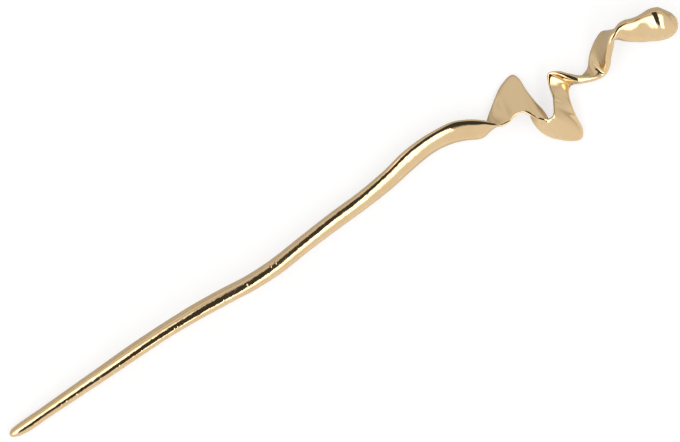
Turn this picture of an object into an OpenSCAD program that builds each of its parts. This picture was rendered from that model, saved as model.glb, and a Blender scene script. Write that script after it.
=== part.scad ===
// Hair stick cast in one piece of polished metal.
// A round, gently waved shank tapers to a blunt tip. Its other end is drawn out into a band
// that swings under itself three times and ends in a drop shaped knob.
// The stick lies as it rests on a table: +X from the tip to the knob, +Z up, and the origin
// under the middle of its box.

/* [Size] */
// Overall length from the blunt tip to the end of the knob
stick_length = 176.2; // [120:0.1:240]
// Thickness of the shank at the middle of its length
shank_thickness = 4.05; // [3:0.05:6]

/* [Form] */
// Sideways wave of the shank, 1 as drawn and 0 straight
shank_wave = 1; // [0:0.05:1.5]
// Thickness of the band in the head, 1 as drawn
band_fullness = 1; // [0.8:0.05:1.2]
// Depth of the twist in the head, 1 as drawn
twist_depth = 1; // [0.7:0.05:1.2]

/* [Fineness] */
// Corners in each section
corners = 20; // [16:2:28]
// Rings for each row of the shank's table
shank_rings = 2; // [1:1:4]
// Rings for each row of the head's table
head_rings = 4; // [3:1:6]

/* [Hidden] */
gold = [0.86, 0.68, 0.42];

// Sizes of the stick that the tables below draw
drawn_length = 176.2;
drawn_shank_thickness = 4.05;

// The rails of a section are never closer together than twice this
least_half_gap = 0.1;

// Both tables draw the stick as two rails, with a rounded edge along each. The front rail
// is the crest that faces up when the stick lies down, and the back rail hangs under it.

// Shank sections, nearly round, whose crest wanders slowly from one side to the other
// along, front side, front thickness, back side, back thickness, height of the middle line
shank_rows = [
    [0.0, -0.15, 0.3, -0.15, 0.3, 1.45],
    [0.3, -0.15, 1.2, -0.15, 1.3, 1.45],
    [1.0, -0.2, 1.8, -0.1, 2.1, 1.5],
    [2.4, -0.3, 2.3, -0.15, 2.6, 1.6],
    [5.0, -0.3, 2.5, -0.1, 2.9, 1.8],
    [10, 0.05, 2.5, 0.2, 2.9, 2.25],
    [18, 0.5, 2.7, 0.7, 3.1, 3.0],
    [26, 0.95, 2.9, 1.15, 3.4, 3.75],
    [34, 1.4, 3.0, 1.7, 3.5, 4.5],
    [42, 1.75, 3.0, 2.05, 3.5, 4.9],
    [50, 1.8, 3.2, 2.1, 3.7, 5.05],
    [57, 1.6, 3.4, 1.8, 3.9, 4.95],
    [64, 1.4, 3.5, 1.4, 4.0, 4.7],
    [71, 1.8, 3.5, 1.65, 4.0, 4.35],
    [79, 3.0, 3.2, 2.6, 3.75, 3.85],
    [87, 4.15, 2.9, 3.45, 3.85, 3.4],
    [95, 5.05, 2.6, 4.15, 3.8, 3.1],
    [102, 6.4, 2.1, 5.05, 3.85, 3.0],
    [108, 7.95, 1.9, 6.25, 3.9, 3.1],
];

// Head sections: a band that swings under its front rail from side to side
// front x, y, z, thickness, back x, y, z, thickness, cup that bows the band out of its plane
head_rows = [
    [113, 8.6, 4.1, 1.8, 113, 7.05, 2.3, 4.0, 0],
    [117.2, 8.75, 4.3, 1.5, 116.6, 7.0, 2.2, 3.9, 0],
    [120.8, 8.45, 4.45, 1.5, 119.8, 6.3, 2.1, 3.5, 0],
    [123.8, 7.2, 4.55, 1.6, 122.6, 5.0, 2.2, 2.8, 0],
    [126.4, 5.6, 4.65, 1.6, 125.6, 3.6, 2.4, 2.7, 0],
    [128.7, 3.8, 4.7, 1.5, 128.0, 4.0, 2.2, 2.6, 0],
    [130.4, 2.9, 4.7, 1.2, 130.0, 6.0, 2.0, 1.8, -0.2],
    [132.4, 2.8, 4.7, 0.8, 132.3, 8.0, 1.4, 1.4, -0.35],
    [134.2, 3.3, 5.1, 0.7, 134.9, 9.8, 1.1, 1.3, -0.1],
    [135.8, 3.05, 5.8, 0.7, 138.0, 10.7, 0.7, 1.3, -0.2],
    [136.8, 1.8, 6.3, 0.9, 139.0, 9.2, 1.4, 1.3, -0.2],
    [137.4, 0.9, 6.4, 1.0, 138.8, 6.2, 2.9, 1.6, -0.1],
    [138.1, 0.0, 6.3, 1.0, 138.4, 2.7, 4.1, 3.2, 0],
    [138.8, -0.9, 6.2, 1.0, 138.5, -0.4, 4.1, 4.6, 0],
    [139.5, -1.8, 6.0, 1.2, 138.9, -3.7, 3.3, 3.2, 0],
    [140.2, -2.0, 5.9, 1.2, 140.6, -6.4, 2.3, 2.1, 0.1],
    [140.9, -1.9, 5.8, 1.0, 142.6, -8.1, 1.2, 1.6, 0],
    [141.5, -1.5, 5.8, 0.8, 144.3, -8.5, 0.7, 1.4, -0.2],
    [142.1, -0.7, 5.5, 0.7, 145.3, -7.0, 1.1, 1.4, -0.3],
    [142.7, 0.4, 5.1, 0.7, 145.5, -4.4, 1.8, 1.4, -0.2],
    [143.5, 1.9, 4.6, 0.7, 145.75, -1.6, 3.0, 1.3, -0.1],
    [143.9, 3.6, 4.2, 0.7, 146.3, 0.4, 3.0, 1.0, 0],
    [144.5, 5.4, 3.8, 0.8, 146.9, 1.7, 2.65, 0.9, 0],
    [145.5, 6.8, 3.7, 1.2, 147.6, 2.4, 2.1, 1.0, 0],
    [147.2, 6.0, 4.0, 1.6, 148.3, 2.8, 1.6, 1.2, 0],
    [148.6, 4.4, 4.15, 2.0, 149.1, 2.7, 1.5, 1.2, 0],
    [150.2, 2.75, 3.9, 2.3, 150.3, 2.4, 1.5, 1.3, 0],
    [152.0, 1.85, 3.4, 2.2, 151.8, 2.5, 1.5, 1.3, 0],
    [154.0, 1.25, 2.95, 1.9, 153.7, 3.2, 1.4, 1.3, 0],
    [155.9, 1.25, 2.5, 1.9, 155.3, 5.1, 1.2, 1.2, -0.1],
    [157.4, 2.4, 3.55, 2.3, 157.0, 6.7, 1.4, 1.2, -0.2],
    [158.5, 4.0, 4.8, 2.6, 158.8, 8.0, 2.0, 1.2, -0.2],
    [159.8, 5.55, 6.0, 2.8, 160.5, 8.65, 2.9, 1.3, -0.1],
    [161.1, 6.8, 7.1, 2.7, 161.8, 8.0, 3.8, 1.6, 0],
    [162.3, 7.1, 7.3, 3.0, 162.5, 7.0, 4.6, 2.1, 0],
    [163.7, 7.3, 7.0, 3.3, 163.4, 5.9, 5.0, 2.0, 0],
    [165.2, 7.1, 6.6, 3.5, 164.6, 5.0, 5.1, 2.1, -0.1],
    [167.2, 6.6, 6.2, 3.4, 166.8, 3.6, 4.3, 2.2, -0.1],
    [168.9, 6.4, 5.85, 3.3, 168.7, 2.7, 3.6, 2.3, 0],
    [170.2, 6.1, 5.25, 3.9, 170.1, 2.1, 3.3, 2.6, 0],
    [171.4, 5.7, 4.55, 4.8, 171.3, 1.8, 3.1, 2.8, -0.1],
    [172.7, 5.3, 4.35, 5.1, 172.6, 1.6, 3.1, 3.0, -0.1],
    [173.9, 4.95, 4.25, 4.6, 173.8, 1.55, 3.2, 2.8, 0],
    [175.0, 4.25, 4.1, 3.2, 175.0, 1.8, 3.4, 2.3, 0],
    [175.8, 3.7, 4.1, 1.8, 175.8, 2.3, 3.7, 1.5, 0],
    [176.2, 3.1, 4.0, 0.3, 176.2, 2.9, 3.9, 0.3, 0],
];

size = stick_length / drawn_length;
girth = shank_thickness / drawn_shank_thickness / size;

// A shank section as a row of the head table. It is as tall as it is wide, so the space
// between its rails, one above the other, is what their thicknesses leave of its width.
function shank_row(row) =
    let (
        front_side = row[1] * shank_wave,
        front_thickness = row[2] * girth,
        back_side = row[3] * shank_wave,
        back_thickness = row[4] * girth,
        left = max(front_side + front_thickness / 2, back_side + back_thickness / 2),
        right = min(front_side - front_thickness / 2, back_side - back_thickness / 2),
        spare = left - right - (front_thickness + back_thickness) / 2,
        half_gap = max(spare / 2, least_half_gap)
    )
    [row[0], front_side, row[5] + half_gap, front_thickness,
        row[0], back_side, row[5] - half_gap, back_thickness, 0];

// A head section with the band's fullness and depth applied
function head_row(row) = [
    row[0], row[1], row[2] * twist_depth, row[3] * band_fullness,
    row[4], row[5], row[6] * twist_depth, row[7] * band_fullness, row[8] * twist_depth,
];

rows = [for (row = shank_rows) shank_row(row), for (row = head_rows) head_row(row)];
last_row = len(rows) - 1;

// The section at a place between the rows, on a smooth curve through them
function section(place) =
    let (
        step = min(floor(place), last_row - 1),
        part = place - step,
        before = rows[max(step - 1, 0)],
        here = rows[step],
        next = rows[step + 1],
        after = rows[min(step + 2, last_row)]
    )
    here + ((next - before) * part
        + (2 * before - 5 * here + 4 * next - after) * part ^ 2
        + (3 * here - before - 3 * next + after) * part ^ 3) / 2;

function front(row) = [row[0], row[1], row[2]];
function back(row) = [row[4], row[5], row[6]];
function middle(row) = (front(row) + back(row)) / 2;
function unit(vector) = vector / norm(vector);

// Direction in which the band runs at a place
nudge = 0.02;
function heading(place) =
    unit(middle(section(min(place + nudge, last_row))) - middle(section(max(place - nudge, 0))));

// The outline of one section: a circle round each rail, joined by nearly flat flanks
function outline(place) =
    let (
        row = section(place),
        across = unit(back(row) - front(row)),
        out = unit(cross(heading(place), across))
    )
    [for (corner = [0 : corners - 1])
        let (
            angle = 360 * corner / corners,
            half = (1 + cos(angle)) / 2,
            share = half * half * (3 - 2 * half),
            radius = (row[3] + (row[7] - row[3]) * share) / 2
        )
        front(row) + (back(row) - front(row)) * share
            + radius * (cos(angle) * across + sin(angle) * out)
            + 4 * row[8] * share * (1 - share) * out];

// Places of the rings, closer together along the head
head_start = len(shank_rows) - 1;
places = [
    for (ring = [0 : head_start * shank_rings - 1]) ring / shank_rings,
    for (ring = [head_start * head_rings : last_row * head_rings]) ring / head_rings,
];
rings = [for (place = places) outline(place) * size];
ring_points = [for (ring = rings) for (point = ring) point];
last_ring = len(rings) - 1;

// Lowest and highest corners of the stick, from which its origin is set
low = [for (axis = [0 : 2]) min([for (point = ring_points) point[axis]])];
high = [for (axis = [0 : 2]) max([for (point = ring_points) point[axis]])];
origin = [(low[0] + high[0]) / 2, (low[1] + high[1]) / 2, low[2]];

// Faces between neighbouring rings, and one face that closes each end
wall_faces = [
    for (ring = [0 : last_ring - 1]) for (corner = [0 : corners - 1])
        let (
            a = ring * corners + corner,
            b = ring * corners + (corner + 1) % corners
        )
        each [[a, b + corners, b], [a, a + corners, b + corners]]
];
tip_face = [for (corner = [0 : corners - 1]) corner];
knob_face = [for (corner = [corners - 1 : -1 : 0]) last_ring * corners + corner];

module hair_stick() {
    color(gold)
        translate(-origin)
            polyhedron(points = ring_points, faces = concat([tip_face, knob_face], wall_faces), convexity = 10);
}

hair_stick();
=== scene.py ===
"""Hair stick of polished cast metal, lying on a pale studio floor.

The stick is drawn as two rails in the same tables as the solid it stands for. A node tree turns the
rails into one smooth surface with the faint ripples of hand polishing, and the metal has fine polish
lines, cross nicks and hazy patches. The stage is a light tent with a dark slot for the camera.
"""

from collections import namedtuple
import math

import bpy
from bpy.props import FloatProperty, FloatVectorProperty, IntProperty, PointerProperty
from mathutils import Matrix, Vector


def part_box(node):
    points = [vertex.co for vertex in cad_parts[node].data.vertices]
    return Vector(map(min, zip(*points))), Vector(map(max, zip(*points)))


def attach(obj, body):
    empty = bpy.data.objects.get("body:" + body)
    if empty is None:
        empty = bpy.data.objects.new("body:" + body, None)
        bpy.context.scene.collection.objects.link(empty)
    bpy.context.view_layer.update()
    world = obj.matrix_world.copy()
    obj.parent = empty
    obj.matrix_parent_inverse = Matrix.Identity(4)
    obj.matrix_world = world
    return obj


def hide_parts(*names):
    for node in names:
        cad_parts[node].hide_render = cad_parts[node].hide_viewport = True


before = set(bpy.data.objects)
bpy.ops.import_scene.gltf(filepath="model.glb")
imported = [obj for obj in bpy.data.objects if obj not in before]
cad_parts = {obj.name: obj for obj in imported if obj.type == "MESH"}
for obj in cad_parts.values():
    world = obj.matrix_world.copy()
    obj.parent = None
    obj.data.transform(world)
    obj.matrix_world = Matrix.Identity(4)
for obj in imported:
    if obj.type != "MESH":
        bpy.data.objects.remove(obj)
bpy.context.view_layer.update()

bl_info = {
    "name": "Twisted Hair Stick",
    "version": (1, 0, 0),
    "blender": (4, 5, 0),
    "location": "3D View > Sidebar > Hair Stick",
    "description": "A cast hair stick with a folded head, and a light tent to show it in",
    "category": "Add Mesh",
}

NODE = "hair_stick"
BODY = "root"
PIECE = "polished_stick"
MM = 0.001

# Sizes of the stick that the tables below draw, in metres
DRAWN_LENGTH = 0.1762
DRAWN_THICKNESS = 0.00405
# The rails of a shank section are never closer together than twice this, in millimetres
LEAST_HALF_GAP = 0.1

# Shank sections in millimetres
# along, front side, front thickness, back side, back thickness, height of the middle line
SHANK_ROWS = [
    [0.0, -0.15, 0.3, -0.15, 0.3, 1.45],
    [0.3, -0.15, 1.2, -0.15, 1.3, 1.45],
    [1.0, -0.2, 1.8, -0.1, 2.1, 1.5],
    [2.4, -0.3, 2.3, -0.15, 2.6, 1.6],
    [5.0, -0.3, 2.5, -0.1, 2.9, 1.8],
    [10, 0.05, 2.5, 0.2, 2.9, 2.25],
    [18, 0.5, 2.7, 0.7, 3.1, 3.0],
    [26, 0.95, 2.9, 1.15, 3.4, 3.75],
    [34, 1.4, 3.0, 1.7, 3.5, 4.5],
    [42, 1.75, 3.0, 2.05, 3.5, 4.9],
    [50, 1.8, 3.2, 2.1, 3.7, 5.05],
    [57, 1.6, 3.4, 1.8, 3.9, 4.95],
    [64, 1.4, 3.5, 1.4, 4.0, 4.7],
    [71, 1.8, 3.5, 1.65, 4.0, 4.35],
    [79, 3.0, 3.2, 2.6, 3.75, 3.85],
    [87, 4.15, 2.9, 3.45, 3.85, 3.4],
    [95, 5.05, 2.6, 4.15, 3.8, 3.1],
    [102, 6.4, 2.1, 5.05, 3.85, 3.0],
    [108, 7.95, 1.9, 6.25, 3.9, 3.1],
]

# Head sections in millimetres
# front x, y, z, thickness, back x, y, z, thickness, cup that bows the band out of its plane
HEAD_ROWS = [
    [113, 8.6, 4.1, 1.8, 113, 7.05, 2.3, 4.0, 0],
    [117.2, 8.75, 4.3, 1.5, 116.6, 7.0, 2.2, 3.9, 0],
    [120.8, 8.45, 4.45, 1.5, 119.8, 6.3, 2.1, 3.5, 0],
    [123.8, 7.2, 4.55, 1.6, 122.6, 5.0, 2.2, 2.8, 0],
    [126.4, 5.6, 4.65, 1.6, 125.6, 3.6, 2.4, 2.7, 0],
    [128.7, 3.8, 4.7, 1.5, 128.0, 4.0, 2.2, 2.6, 0],
    [130.4, 2.9, 4.7, 1.2, 130.0, 6.0, 2.0, 1.8, -0.2],
    [132.4, 2.8, 4.7, 0.8, 132.3, 8.0, 1.4, 1.4, -0.35],
    [134.2, 3.3, 5.1, 0.7, 134.9, 9.8, 1.1, 1.3, -0.1],
    [135.8, 3.05, 5.8, 0.7, 138.0, 10.7, 0.7, 1.3, -0.2],
    [136.8, 1.8, 6.3, 0.9, 139.0, 9.2, 1.4, 1.3, -0.2],
    [137.4, 0.9, 6.4, 1.0, 138.8, 6.2, 2.9, 1.6, -0.1],
    [138.1, 0.0, 6.3, 1.0, 138.4, 2.7, 4.1, 3.2, 0],
    [138.8, -0.9, 6.2, 1.0, 138.5, -0.4, 4.1, 4.6, 0],
    [139.5, -1.8, 6.0, 1.2, 138.9, -3.7, 3.3, 3.2, 0],
    [140.2, -2.0, 5.9, 1.2, 140.6, -6.4, 2.3, 2.1, 0.1],
    [140.9, -1.9, 5.8, 1.0, 142.6, -8.1, 1.2, 1.6, 0],
    [141.5, -1.5, 5.8, 0.8, 144.3, -8.5, 0.7, 1.4, -0.2],
    [142.1, -0.7, 5.5, 0.7, 145.3, -7.0, 1.1, 1.4, -0.3],
    [142.7, 0.4, 5.1, 0.7, 145.5, -4.4, 1.8, 1.4, -0.2],
    [143.5, 1.9, 4.6, 0.7, 145.75, -1.6, 3.0, 1.3, -0.1],
    [143.9, 3.6, 4.2, 0.7, 146.3, 0.4, 3.0, 1.0, 0],
    [144.5, 5.4, 3.8, 0.8, 146.9, 1.7, 2.65, 0.9, 0],
    [145.5, 6.8, 3.7, 1.2, 147.6, 2.4, 2.1, 1.0, 0],
    [147.2, 6.0, 4.0, 1.6, 148.3, 2.8, 1.6, 1.2, 0],
    [148.6, 4.4, 4.15, 2.0, 149.1, 2.7, 1.5, 1.2, 0],
    [150.2, 2.75, 3.9, 2.3, 150.3, 2.4, 1.5, 1.3, 0],
    [152.0, 1.85, 3.4, 2.2, 151.8, 2.5, 1.5, 1.3, 0],
    [154.0, 1.25, 2.95, 1.9, 153.7, 3.2, 1.4, 1.3, 0],
    [155.9, 1.25, 2.5, 1.9, 155.3, 5.1, 1.2, 1.2, -0.1],
    [157.4, 2.4, 3.55, 2.3, 157.0, 6.7, 1.4, 1.2, -0.2],
    [158.5, 4.0, 4.8, 2.6, 158.8, 8.0, 2.0, 1.2, -0.2],
    [159.8, 5.55, 6.0, 2.8, 160.5, 8.65, 2.9, 1.3, -0.1],
    [161.1, 6.8, 7.1, 2.7, 161.8, 8.0, 3.8, 1.6, 0],
    [162.3, 7.1, 7.3, 3.0, 162.5, 7.0, 4.6, 2.1, 0],
    [163.7, 7.3, 7.0, 3.3, 163.4, 5.9, 5.0, 2.0, 0],
    [165.2, 7.1, 6.6, 3.5, 164.6, 5.0, 5.1, 2.1, -0.1],
    [167.2, 6.6, 6.2, 3.4, 166.8, 3.6, 4.3, 2.2, -0.1],
    [168.9, 6.4, 5.85, 3.3, 168.7, 2.7, 3.6, 2.3, 0],
    [170.2, 6.1, 5.25, 3.9, 170.1, 2.1, 3.3, 2.6, 0],
    [171.4, 5.7, 4.55, 4.8, 171.3, 1.8, 3.1, 2.8, -0.1],
    [172.7, 5.3, 4.35, 5.1, 172.6, 1.6, 3.1, 3.0, -0.1],
    [173.9, 4.95, 4.25, 4.6, 173.8, 1.55, 3.2, 2.8, 0],
    [175.0, 4.25, 4.1, 3.2, 175.0, 1.8, 3.4, 2.3, 0],
    [175.8, 3.7, 4.1, 1.8, 175.8, 2.3, 3.7, 1.5, 0],
    [176.2, 3.1, 4.0, 0.3, 176.2, 2.9, 3.9, 0.3, 0],
]

# Cross nicks on the top of the shank in millimetres: along, side, reach to each side, lean, width
NICK_ROWS = [
    [13.8, 0.1, 0.7, 0.35, 0.2],
    [15.2, 0.1, 1.0, 0.4, 0.3],
    [16.1, -0.2, 0.8, 0.3, 0.24],
    [18.2, 0.2, 0.9, -0.3, 0.24],
    [24.4, 0.0, 0.7, 0.5, 0.2],
    [29.6, 0.0, 1.0, 0.4, 0.26],
    [36.0, 0.2, 0.7, -0.4, 0.2],
    [41.8, -0.2, 0.9, 0.3, 0.24],
    [44.4, 0.1, 1.3, 0.5, 0.32],
    [45.3, 0.3, 0.9, 0.45, 0.22],
    [50.2, -0.1, 0.9, -0.2, 0.24],
    [53.4, 0.2, 0.8, 0.3, 0.22],
    [57.1, 0.0, 1.1, 0.35, 0.28],
    [63.5, 0.1, 0.7, -0.3, 0.2],
    [70.2, 0.1, 1.2, 0.4, 0.3],
    [71.4, -0.3, 1.0, 0.3, 0.24],
    [84.0, 0.0, 0.7, -0.25, 0.2],
]

# The ripples of hand polishing are a noise pattern in the skin itself
RIPPLE_SEED = 7.0
RIPPLE_DETAIL = 2.0
RIPPLE_ROUGHNESS = 0.45
# Patterns in the metal: size in metres, stretch along the stick, detail, roughness
PATTERNS = {
    "patches": (0.009, 1.0, 3.0, 0.5),
    "lines": (0.00022, 14.0, 2.0, 0.6),
    "grain": (0.0006, 1.6, 3.0, 0.5),
    "haze": (0.0035, 2.0, 4.0, 0.5),
}
# The middle of a noise pattern's values, and the values between which each look sets in
NOISE_MIDDLE = 0.5
WARM_RANGE = (0.35, 0.7)
HAZE_RANGE = (0.42, 0.7)
GRAIN_RANGE = (0.3, 0.65)
# Depth of the grain, in depths of the polish lines
GRAIN_DEPTH = 4.0
# The stretch along the stick, in metres, over which the shank's polish becomes the head's
HEAD_BLEND = (0.1, 0.125)

# Half a side of the floor and the camera's clipping in metres, and its sensor in millimetres
FLOOR_HALF = 3.0
CLIP = (0.01, 10.0)
SENSOR_WIDTH = 36.0
# The strip of floor, in metres across the stick, over which the mirrored floor's painted shade deepens
DUSK_BLEND = (-0.006, 0.006)

# The tent's ceiling holds the lamps and the slot. Places in it are given in heights of the ceiling:
# across from the picture's middle line, and along from the foot of the picture to its head
LAMP_OUTER = 0.98
LAMP_REACH = (-1.35, 0.45)
SLOT_REACH = (-1.15, 1.7)
# Half the width of an edge, over which a lamp or the slot gives way to what is round it
CRISP_EDGE = 0.03
SOFT_EDGE = 0.2
FADING_EDGE = 0.4
# A line of sight has a rise, from 0 level to 1 straight up, and a lean, up to 1 towards the head of
# the picture. The ceiling ends at a low rise, and the walls change with both
LEAST_RISE = 0.02
CEILING_RISE = (0.02, 0.1)
BACK_FOOT_RISE = (0.0, 0.4)
BACK_HEAD_RISE = (0.45, 0.7)
WALL_LEAN = (-0.5, 0.5)
# What is left of the back wall's brightness at its foot and at its head
BACK_FOOT_SHARE = 0.65
BACK_HEAD_SHARE = 0.8

# A section has a point of each rail, the band's thickness there, and a cup that bows it
Section = namedtuple("Section", "front front_thickness back back_thickness cup")


class StickShape(bpy.types.PropertyGroup):
    """Sizes of the stick."""

    length: FloatProperty(
        name="Length", description="From the blunt tip to the end of the knob",
        default=DRAWN_LENGTH, min=0.12, max=0.24, unit="LENGTH", precision=4)
    shank_thickness: FloatProperty(
        name="Shank thickness", description="Thickness of the shank at the middle of its length",
        default=DRAWN_THICKNESS, min=0.003, max=0.006, unit="LENGTH", precision=5)
    shank_wave: FloatProperty(
        name="Shank wave", description="Sideways wave of the shank, 0 straight and 1 as drawn",
        default=1.0, min=0.0, max=1.5, subtype="FACTOR")
    band_fullness: FloatProperty(
        name="Band fullness", description="Thickness of the band in the head, 1 as drawn",
        default=1.0, min=0.8, max=1.2, subtype="FACTOR")
    twist_depth: FloatProperty(
        name="Twist depth", description="Depth of the twist in the head, 1 as drawn",
        default=1.0, min=0.7, max=1.2, subtype="FACTOR")
    corners: IntProperty(
        name="Corners", description="Corners in each section", default=64, min=16, max=96)
    rings: IntProperty(
        name="Rings", description="Rings from each row of the tables to the next",
        default=20, min=4, max=24)
    ripple_depth: FloatProperty(
        name="Ripple depth", description="Height of the ripples that hand polishing leaves",
        default=0.00006, min=0.0, max=0.0003, unit="LENGTH", precision=6)
    ripple_size: FloatProperty(
        name="Ripple size", description="Width of the broadest ripples",
        default=0.005, min=0.001, max=0.02, unit="LENGTH", precision=4)


class StickFinish(bpy.types.PropertyGroup):
    """Colour and polish of the metal."""

    gold: FloatVectorProperty(
        name="Gold", description="Colour of the clean metal",
        default=(0.93, 0.69, 0.40), min=0.0, max=1.0, size=3, subtype="COLOR")
    warm_gold: FloatVectorProperty(
        name="Warm gold", description="Colour of the metal where handling has deepened it",
        default=(0.89, 0.64, 0.35), min=0.0, max=1.0, size=3, subtype="COLOR")
    polish: FloatProperty(
        name="Polished roughness", description="Roughness where the polish is best",
        default=0.07, min=0.0, max=1.0, subtype="FACTOR")
    haze: FloatProperty(
        name="Hazy roughness", description="Roughness in the hazy patches",
        default=0.17, min=0.0, max=1.0, subtype="FACTOR")
    line_depth: FloatProperty(
        name="Polish line depth", description="Depth of the fine polish lines on the shank",
        default=0.000008, min=0.0, max=0.0001, unit="LENGTH", precision=7)
    head_line_depth: FloatProperty(
        name="Head line depth", description="Depth of the fine polish lines on the smoother head",
        default=0.000003, min=0.0, max=0.0001, unit="LENGTH", precision=7)
    nick_depth: FloatProperty(
        name="Nick depth", description="Depth of the cross nicks on the shank",
        default=0.00005, min=0.0, max=0.0003, unit="LENGTH", precision=6)


class StickStage(bpy.types.PropertyGroup):
    """Floor, light tent and camera."""

    floor_shade: FloatProperty(
        name="Floor shade", description="Share of the tent's light that the floor gives back to the camera",
        default=0.35, min=0.0, max=1.0, subtype="FACTOR")
    floor_light: FloatProperty(
        name="Floor light", description="Light that comes up through the floor to the camera",
        default=0.72, min=0.0, max=1.0)
    # Painted shade: the metal sees the floor darker than the camera does, and darker still behind the stick
    floor_glow: FloatProperty(
        name="Floor in the metal",
        description="Share of the tent's light that the floor before the stick gives to the metal",
        default=0.95, min=0.0, max=1.0, subtype="FACTOR")
    floor_dusk: FloatProperty(
        name="Floor behind",
        description="Share of the tent's light that the floor behind the stick gives to the metal",
        default=0.6, min=0.0, max=1.0, subtype="FACTOR")
    front_wall: FloatProperty(
        name="Front wall", description="Brightness of the tent's wall at the foot of the picture",
        default=0.8, min=0.0, max=4.0)
    back_wall: FloatProperty(
        name="Back wall", description="Brightness of the tent's wall at the head of the picture",
        default=0.68, min=0.0, max=4.0)
    lamp: FloatProperty(
        name="Lamp", description="Brightness of the soft lamp at each side of the camera",
        default=2.5, min=0.0, max=20.0)
    slot: FloatProperty(
        name="Slot",
        description="Half the width of the dark slot for the camera, in heights of the ceiling",
        default=0.38, min=0.0, max=2.0)
    slot_shade: FloatProperty(
        name="Slot shade", description="Brightness of the dark slot",
        default=0.045, min=0.0, max=1.0, subtype="FACTOR")
    distance: FloatProperty(
        name="Camera distance", description="Height of the camera above the floor",
        default=0.7, min=0.2, max=5.0, unit="LENGTH")
    picture_width: FloatProperty(
        name="Picture width", description="Width of the floor that the picture shows",
        default=0.153, min=0.05, max=1.0, unit="LENGTH")
    aim: FloatVectorProperty(
        name="Aim", description="Place on the floor at the middle of the picture",
        default=(0.0002, 0.0019), size=2, unit="LENGTH", precision=5)
    turn: FloatProperty(
        name="Turn", description="Turn of the stick in the picture, tip low and knob high",
        default=math.radians(31), subtype="ANGLE")


class Wiring:
    """Adds nodes to one tree and joins them."""

    def __init__(self, tree):
        self.tree = tree

    def node(self, kind, values=(), **settings):
        """A node of that kind. values pairs an input's name or number with a socket or a value."""
        made = self.tree.nodes.new(kind)
        for name, value in settings.items():
            setattr(made, name, value)
        for place, value in dict(values).items():
            self.feed(made.inputs[place], value)
        return made

    def feed(self, socket, value):
        """Gives an input a node's first output, a socket or a plain value."""
        if isinstance(value, bpy.types.Node):
            value = value.outputs[0]
        if isinstance(value, bpy.types.NodeSocket):
            self.tree.links.new(value, socket)
        else:
            socket.default_value = value

    def math(self, operation, *values):
        """The result of a sum on numbers."""
        return self.node("ShaderNodeMath", enumerate(values), operation=operation).outputs[0]

    def product(self, result, *factors):
        """Several numbers multiplied."""
        for factor in factors:
            result = self.math("MULTIPLY", result, factor)
        return result

    def vector(self, operation, *values):
        """The result of a sum on vectors."""
        return self.node("ShaderNodeVectorMath", enumerate(values), operation=operation).outputs[0]

    def scaled(self, vector, factor):
        """A vector times a number."""
        made = self.node("ShaderNodeVectorMath", {0: vector, "Scale": factor}, operation="SCALE")
        return made.outputs[0]

    def step(self, value, low, high):
        """0 at low and 1 at high, with a soft run between. low may be the greater of the two."""
        made = self.node(
            "ShaderNodeMapRange", {"Value": value, "From Min": low, "From Max": high},
            interpolation_type="SMOOTHSTEP")
        return made.outputs[0]

    def between(self, share, low, high):
        """low where share is 0 and high where it is 1."""
        spread = self.math("SUBTRACT", high, low)
        return self.math("MULTIPLY_ADD", spread, share, low)

    def tinted(self, share, low, high):
        """The colour low where share is 0 and the colour high where it is 1."""
        # A Mix node's inputs 6 and 7 and its output 2 are the ones for colours
        made = self.node("ShaderNodeMix", {0: share, 6: (*low, 1.0), 7: (*high, 1.0)}, data_type="RGBA")
        return made.outputs[2]


def shank_section(row, shape, girth):
    """A shank row as a section that is as tall as it is wide, with one rail over the other."""
    along, front_side, front_thickness, back_side, back_thickness, height = row
    front_side *= shape.shank_wave
    back_side *= shape.shank_wave
    front_thickness *= girth
    back_thickness *= girth
    left = max(front_side + front_thickness / 2, back_side + back_thickness / 2)
    right = min(front_side - front_thickness / 2, back_side - back_thickness / 2)
    spare = left - right - (front_thickness + back_thickness) / 2
    half_gap = max(spare / 2, LEAST_HALF_GAP)
    front = Vector((along, front_side, height + half_gap))
    back = Vector((along, back_side, height - half_gap))
    return Section(front, front_thickness, back, back_thickness, 0)


def head_section(row, shape):
    """A head row as a section, with the band's fullness and depth applied."""
    front_x, front_y, front_z, front_thickness, back_x, back_y, back_z, back_thickness, cup = row
    depth, fullness = shape.twist_depth, shape.band_fullness
    front = Vector((front_x, front_y, front_z * depth))
    back = Vector((back_x, back_y, back_z * depth))
    return Section(front, front_thickness * fullness, back, back_thickness * fullness, cup * depth)


def rails_mesh(shape):
    """One point for each section, joined in a line, that carries the section as attributes in metres."""
    size = shape.length / DRAWN_LENGTH
    girth = shape.shank_thickness / DRAWN_THICKNESS / size
    sections = [shank_section(row, shape, girth) for row in SHANK_ROWS]
    sections += [head_section(row, shape) for row in HEAD_ROWS]
    unit = MM * size
    fronts = [section.front * unit for section in sections]
    backs = [section.back * unit for section in sections]
    middles = [(front + back) / 2 for front, back in zip(fronts, backs)]
    numbers = {
        "front_radius": [section.front_thickness * unit / 2 for section in sections],
        "back_radius": [section.back_thickness * unit / 2 for section in sections],
        "cup": [section.cup * unit for section in sections],
    }
    mesh = bpy.data.meshes.new("stick_rails")
    mesh.from_pydata(middles, [(i, i + 1) for i in range(len(sections) - 1)], [])
    for name, points in (("front", fronts), ("back", backs)):
        layer = mesh.attributes.new(name, "FLOAT_VECTOR", "POINT")
        layer.data.foreach_set("vector", [value for point in points for value in point])
    for name, values in numbers.items():
        layer = mesh.attributes.new(name, "FLOAT", "POINT")
        layer.data.foreach_set("value", values)
    return mesh


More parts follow.
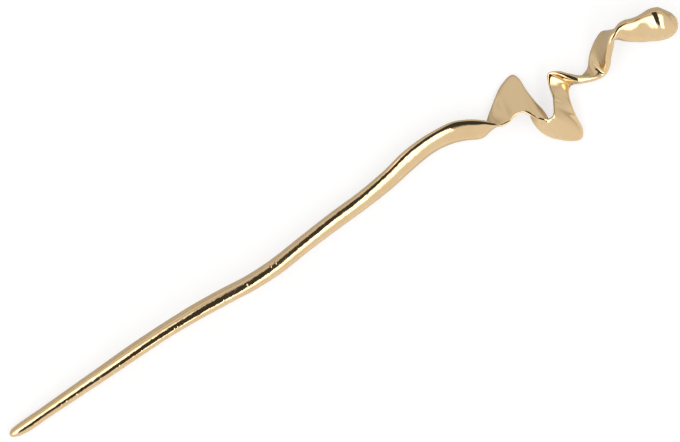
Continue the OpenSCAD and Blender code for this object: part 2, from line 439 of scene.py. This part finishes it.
def loft_tree():
    """The node tree that lofts a skin over the rails: a circle round each, joined by flat flanks."""
    tree = bpy.data.node_groups.new("Stick From Two Rails", "GeometryNodeTree")
    for name, kind in (
        ("Rails", "NodeSocketGeometry"), ("Corners", "NodeSocketInt"), ("Rings", "NodeSocketInt"),
        ("Ripple Depth", "NodeSocketFloat"), ("Ripple Size", "NodeSocketFloat"),
        ("Seed", "NodeSocketFloat"), ("Metal", "NodeSocketMaterial"),
    ):
        tree.interface.new_socket(name=name, in_out="INPUT", socket_type=kind)
    tree.interface.new_socket(name="Stick", in_out="OUTPUT", socket_type="NodeSocketGeometry")
    wire = Wiring(tree)
    given = wire.node("NodeGroupInput").outputs

    def carried(name, kind="FLOAT_VECTOR"):
        made = wire.node("GeometryNodeInputNamedAttribute", {"Name": name}, data_type=kind)
        return made.outputs["Attribute"]

    def stored(geometry, name, value, kind="FLOAT_VECTOR"):
        return wire.node(
            "GeometryNodeStoreNamedAttribute",
            {"Geometry": geometry, "Name": name, "Value": value}, data_type=kind, domain="POINT")

    # A smooth line through the middles of the rows, and a circle of the section's corners
    line = wire.node("GeometryNodeMeshToCurve", {"Mesh": given["Rails"]})
    line = wire.node("GeometryNodeCurveSplineType", {"Curve": line}, spline_type="CATMULL_ROM")
    line = wire.node("GeometryNodeSetSplineResolution", {"Geometry": line, "Resolution": given["Rings"]})
    line = wire.node("GeometryNodeResampleCurve", {"Curve": line}, mode="EVALUATED")
    line = stored(line, "heading", wire.node("GeometryNodeInputTangent"))
    run = wire.node("GeometryNodeSplineParameter").outputs["Length"]
    line = stored(line, "along", run, "FLOAT")
    ring = wire.node("GeometryNodeCurvePrimitiveCircle", {"Resolution": given["Corners"], "Radius": 1.0})
    ring = stored(ring.outputs["Curve"], "turn", wire.node("GeometryNodeInputPosition"))
    skin = wire.node("GeometryNodeCurveToMesh", {"Curve": line, "Profile Curve": ring, "Fill Caps": True})

    # Each corner's share of the way from the front rail to the back rail
    turn = wire.node("ShaderNodeSeparateXYZ", {0: carried("turn")}).outputs
    share = wire.step(turn["X"], -1.0, 1.0)
    span = wire.vector("SUBTRACT", carried("back"), carried("front"))
    across = wire.vector("NORMALIZE", span)
    out = wire.vector("NORMALIZE", wire.vector("CROSS_PRODUCT", carried("heading"), across))
    # The cup bows both flanks the same way, and by its whole depth halfway between the rails
    bow = wire.product(share, wire.math("SUBTRACT", 1.0, share), 4.0, carried("cup", "FLOAT"))
    # Each corner's place, on a circle whose middle lies that share of the way across
    radius = wire.between(share, carried("front_radius", "FLOAT"), carried("back_radius", "FLOAT"))
    reach = wire.math("MULTIPLY", radius, turn["X"])
    side = wire.math("MULTIPLY", radius, turn["Y"])
    place = wire.vector("ADD", carried("front"), wire.scaled(span, share))
    place = wire.vector("ADD", place, wire.scaled(across, reach))
    place = wire.vector("ADD", place, wire.scaled(out, wire.math("ADD", side, bow)))
    skin = wire.node("GeometryNodeSetPosition", {"Geometry": skin, "Position": place})
    straight = wire.node("ShaderNodeCombineXYZ", {0: carried("along", "FLOAT"), 1: reach, 2: side})
    skin = stored(skin, "straight", straight)

    # The faint ripples of hand polishing
    noise = wire.node(
        "ShaderNodeTexNoise",
        {"Vector": wire.node("GeometryNodeInputPosition"), "W": given["Seed"],
         "Scale": wire.math("DIVIDE", 1.0, given["Ripple Size"]),
         "Detail": RIPPLE_DETAIL, "Roughness": RIPPLE_ROUGHNESS},
        noise_dimensions="4D")
    height = wire.math("MULTIPLY", wire.math("SUBTRACT", noise, NOISE_MIDDLE), given["Ripple Depth"])
    offset = wire.scaled(wire.node("GeometryNodeInputNormal"), height)
    skin = wire.node("GeometryNodeSetPosition", {"Geometry": skin, "Offset": offset})

    for name in ("front", "back", "front_radius", "back_radius", "cup", "heading", "along", "turn"):
        skin = wire.node("GeometryNodeRemoveAttribute", {"Geometry": skin, "Name": name})
    skin = wire.node("GeometryNodeSetShadeSmooth", {"Geometry": skin, "Shade Smooth": True})
    skin = wire.node("GeometryNodeRealizeInstances", {"Geometry": skin})
    skin = wire.node("GeometryNodeSetMaterial", {"Geometry": skin, "Material": given["Metal"]})
    wire.node("NodeGroupOutput", {"Stick": skin})
    return tree


def set_inputs(modifier, values):
    """Sets a node modifier's inputs by their sockets' identifiers."""
    for item in modifier.node_group.interface.items_tree:
        if item.in_out == "INPUT" and item.name in values:
            modifier[item.identifier] = values[item.name]


def nick_group():
    """A group that masks one nick across the top of the shank."""
    tree = bpy.data.node_groups.new("Cross Nick", "ShaderNodeTree")
    tree.interface.new_socket(name="Straight", in_out="INPUT", socket_type="NodeSocketVector")
    for name in ("Along", "Side", "Reach", "Lean", "Width"):
        tree.interface.new_socket(name=name, in_out="INPUT", socket_type="NodeSocketFloat")
    tree.interface.new_socket(name="Mask", in_out="OUTPUT", socket_type="NodeSocketFloat")
    wire = Wiring(tree)
    given = wire.node("NodeGroupInput").outputs
    place = wire.node("ShaderNodeSeparateXYZ", {0: given["Straight"]}).outputs
    side = wire.math("SUBTRACT", place["Z"], given["Side"])
    middle = wire.math("MULTIPLY_ADD", side, given["Lean"], given["Along"])
    away = wire.math("ABSOLUTE", wire.math("SUBTRACT", place["X"], middle))
    line = wire.step(away, given["Width"], 0.0)
    end = wire.step(wire.math("ABSOLUTE", side), given["Reach"], 0.0)
    top = wire.math("LESS_THAN", place["Y"], 0.0)
    wire.node("NodeGroupOutput", {"Mask": wire.product(line, end, top)})
    return tree


def nick_mask(wire, straight):
    """The mask of every nick in the table."""
    group = nick_group()
    mask = 0.0
    for along, side, reach, lean, width in NICK_ROWS:
        nick = wire.node("ShaderNodeGroup", {
            "Straight": straight, "Along": along * MM, "Side": side * MM, "Reach": reach * MM,
            "Lean": lean, "Width": width * MM}, node_tree=group)
        mask = wire.math("MAXIMUM", mask, nick)
    return mask


def pattern(wire, place, name):
    """One of the patterns in the metal, by its name."""
    size, stretch, detail, roughness = PATTERNS[name]
    scale = Vector((1 / (size * stretch), 1 / size, 1 / size))
    mapped = wire.node("ShaderNodeMapping", {"Vector": place, "Scale": scale})
    values = {"Vector": mapped, "Scale": 1.0, "Detail": detail, "Roughness": roughness}
    return wire.node("ShaderNodeTexNoise", values).outputs[0]


def polished_gold(finish):
    """Polished metal with hazy patches, fine polish lines along the stick and nicks across it."""
    metal = bpy.data.materials.new("hair_stick_gold")
    metal.use_nodes = True
    metal.node_tree.nodes.clear()
    wire = Wiring(metal.node_tree)
    straight = wire.node("ShaderNodeAttribute", attribute_name="straight").outputs["Vector"]
    along = wire.node("ShaderNodeSeparateXYZ", {0: straight}).outputs["X"]

    warmth = wire.step(pattern(wire, straight, "patches"), *WARM_RANGE)
    colour = wire.tinted(warmth, finish.gold, finish.warm_gold)

    grain = pattern(wire, straight, "grain")
    haze = wire.step(pattern(wire, straight, "haze"), *HAZE_RANGE)
    haze = wire.math("MULTIPLY", haze, wire.step(grain, *GRAIN_RANGE))
    roughness = wire.between(haze, finish.polish, finish.haze)

    depth = wire.between(wire.step(along, *HEAD_BLEND), finish.line_depth, finish.head_line_depth)
    lines = wire.math("MULTIPLY_ADD", grain, GRAIN_DEPTH, pattern(wire, straight, "lines"))
    height = wire.math("MULTIPLY", lines, depth)
    height = wire.math("MULTIPLY_ADD", nick_mask(wire, straight), -finish.nick_depth, height)
    bump = wire.node("ShaderNodeBump", {"Height": height, "Strength": 1.0, "Distance": 1.0})
    shader = wire.node("ShaderNodeBsdfPrincipled", {
        "Base Color": colour, "Metallic": 1.0, "Roughness": roughness, "Normal": bump})
    wire.node("ShaderNodeOutputMaterial", {"Surface": shader})
    return metal


def floor_material(stage):
    """Matt pale paper. The metal mirrors it with painted shade: a little darker, and darker still behind
    the stick.
    """
    paper = bpy.data.materials.new("pale_floor")
    paper.use_nodes = True
    paper.node_tree.nodes.clear()
    wire = Wiring(paper.node_tree)
    seen = wire.node("ShaderNodeLightPath").outputs["Is Camera Ray"]
    place = wire.node("ShaderNodeTexCoord").outputs["Object"]
    across = wire.node("ShaderNodeSeparateXYZ", {0: place}).outputs["Y"]
    # Painted shade: the floor's colour as the metal sees it darkens across the strip behind the stick
    glow = wire.between(wire.step(across, *DUSK_BLEND), stage.floor_glow, stage.floor_dusk)
    # The camera sees the floor plain, and only other rays see the painted shade
    shade = wire.between(seen, glow, stage.floor_shade)
    matt = wire.node("ShaderNodeBsdfDiffuse", {"Color": shade})
    light = wire.node("ShaderNodeEmission", {"Strength": wire.math("MULTIPLY", seen, stage.floor_light)})
    shader = wire.node("ShaderNodeAddShader", {0: matt, 1: light})
    wire.node("ShaderNodeOutputMaterial", {"Surface": shader})
    return paper


def light_tent(stage):
    """A soft white tent: a lamp at each side of the camera, a dark slot between them and pale walls."""
    world = bpy.data.worlds.new("light_tent")
    world.use_nodes = True
    world.node_tree.nodes.clear()
    wire = Wiring(world.node_tree)
    view = wire.node("ShaderNodeTexCoord").outputs["Generated"]
    turned = wire.node("ShaderNodeMapping", {"Vector": view, "Rotation": (0.0, 0.0, stage.turn)})
    right, up, rise = wire.node("ShaderNodeSeparateXYZ", {0: turned}).outputs

    # The back wall is darker than the front wall, most of all at its foot
    foot = wire.between(wire.step(rise, *BACK_FOOT_RISE), BACK_FOOT_SHARE, 1.0)
    head = wire.between(wire.step(rise, *BACK_HEAD_RISE), 1.0, BACK_HEAD_SHARE)
    back = wire.product(foot, stage.back_wall, head)
    walls = wire.between(wire.step(up, *WALL_LEAN), stage.front_wall, back)

    # Where the line of sight meets the ceiling
    overhead = wire.step(rise, *CEILING_RISE)
    safe = wire.math("MAXIMUM", rise, LEAST_RISE)
    across = wire.math("ABSOLUTE", wire.math("DIVIDE", right, safe))
    along = wire.math("DIVIDE", up, safe)

    def panel(inner, outer, reach, outer_edge, top_edge):
        """The mask of a panel in the ceiling, from inner to outer at both sides of the middle line."""
        low, top = reach
        mask = wire.product(overhead, wire.step(across, outer + outer_edge, outer - outer_edge))
        if inner:
            mask = wire.product(mask, wire.step(across, inner - CRISP_EDGE, inner + CRISP_EDGE))
        mask = wire.product(mask, wire.step(along, top + top_edge, top - top_edge))
        return wire.product(mask, wire.step(along, low - SOFT_EDGE, low + SOFT_EDGE))

    slot = panel(0.0, stage.slot, SLOT_REACH, CRISP_EDGE, SOFT_EDGE)
    lamps = panel(stage.slot, LAMP_OUTER, LAMP_REACH, SOFT_EDGE, FADING_EDGE)
    light = wire.between(slot, walls, stage.slot_shade)
    light = wire.between(lamps, light, stage.lamp)
    glow = wire.node("ShaderNodeBackground", {"Color": (1.0, 1.0, 1.0, 1.0), "Strength": light})
    wire.node("ShaderNodeOutputWorld", {"Surface": glow})
    return world


class HAIRSTICK_OT_stage(bpy.types.Operator):
    """Make the pale floor, the light tent and the camera"""

    bl_idname = "hair_stick.make_stage"
    bl_label = "Make Stage"

    def execute(self, context):
        stage = context.scene.hair_stick_stage
        half = FLOOR_HALF
        mesh = bpy.data.meshes.new("floor")
        mesh.from_pydata(
            [(-half, -half, 0), (half, -half, 0), (half, half, 0), (-half, half, 0)], [], [(0, 1, 2, 3)])
        mesh.materials.append(floor_material(stage))
        floor = bpy.data.objects.new("floor", mesh)
        context.scene.collection.objects.link(floor)
        context.scene.world = light_tent(stage)
        context.scene.view_settings.view_transform = "Standard"

        lens = bpy.data.cameras.new("camera")
        lens.sensor_width = SENSOR_WIDTH
        lens.lens = lens.sensor_width * stage.distance / stage.picture_width
        lens.clip_start, lens.clip_end = CLIP
        camera = bpy.data.objects.new("camera", lens)
        context.scene.collection.objects.link(camera)
        camera.location = (*stage.aim, stage.distance)
        camera.rotation_euler = (0.0, 0.0, -stage.turn)
        context.scene.camera = camera
        return {"FINISHED"}


class HAIRSTICK_OT_stick(bpy.types.Operator):
    """Make the stick's polished skin in the place of its solid"""

    bl_idname = "hair_stick.make_stick"
    bl_label = "Make Stick"

    def execute(self, context):
        shape, finish = context.scene.hair_stick_shape, context.scene.hair_stick_finish
        rails = rails_mesh(shape)
        stick = bpy.data.objects.new(PIECE, rails)
        context.scene.collection.objects.link(stick)
        loft = stick.modifiers.new("Loft", "NODES")
        loft.node_group = loft_tree()
        set_inputs(loft, {
            "Corners": shape.corners, "Rings": shape.rings, "Seed": RIPPLE_SEED,
            "Ripple Depth": shape.ripple_depth, "Ripple Size": shape.ripple_size,
            "Metal": polished_gold(finish)})
        seen = stick.evaluated_get(context.evaluated_depsgraph_get())
        skin = bpy.data.meshes.new_from_object(seen)
        stick.modifiers.clear()
        stick.data = skin
        skin.name = PIECE
        bpy.data.meshes.remove(rails)
        if not skin.polygons:
            raise RuntimeError("the loft made no faces")

        # The skin lies where the solid lies: over the middle of its box, on the same floor
        low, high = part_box(NODE)
        points = [vertex.co for vertex in skin.vertices]
        least = Vector(min(point[axis] for point in points) for axis in range(3))
        most = Vector(max(point[axis] for point in points) for axis in range(3))
        shift = (low + high - least - most) / 2
        shift.z = low.z - least.z
        skin.transform(Matrix.Translation(shift))
        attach(stick, BODY)
        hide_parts(NODE)
        return {"FINISHED"}


class HAIRSTICK_PT_panel(bpy.types.Panel):
    """Sizes, finish and stage of the hair stick"""

    bl_idname = "HAIRSTICK_PT_panel"
    bl_label = "Hair Stick"
    bl_space_type = "VIEW_3D"
    bl_region_type = "UI"
    bl_category = "Hair Stick"

    def draw(self, context):
        groups = (
            (context.scene.hair_stick_shape, HAIRSTICK_OT_stick),
            (context.scene.hair_stick_finish, None),
            (context.scene.hair_stick_stage, HAIRSTICK_OT_stage),
        )
        for group, operator in groups:
            column = self.layout.column(align=True)
            for name in group.__annotations__:
                column.prop(group, name)
            if operator:
                self.layout.operator(operator.bl_idname)


CLASSES = (
    StickShape, StickFinish, StickStage,
    HAIRSTICK_OT_stage, HAIRSTICK_OT_stick, HAIRSTICK_PT_panel,
)
GROUPS = {
    "hair_stick_shape": StickShape,
    "hair_stick_finish": StickFinish,
    "hair_stick_stage": StickStage,
}


def register():
    """Add the classes, and a group of each kind to the scene."""
    for cls in CLASSES:
        bpy.utils.register_class(cls)
    for name, group in GROUPS.items():
        setattr(bpy.types.Scene, name, PointerProperty(type=group))


def unregister():
    """Take out what register added."""
    for name in GROUPS:
        delattr(bpy.types.Scene, name)
    for cls in reversed(CLASSES):
        bpy.utils.unregister_class(cls)


def main():
    """Make the stage and the stick."""
    register()
    bpy.ops.hair_stick.make_stage()
    bpy.ops.hair_stick.make_stick()


if __name__ == "__main__":
    main()
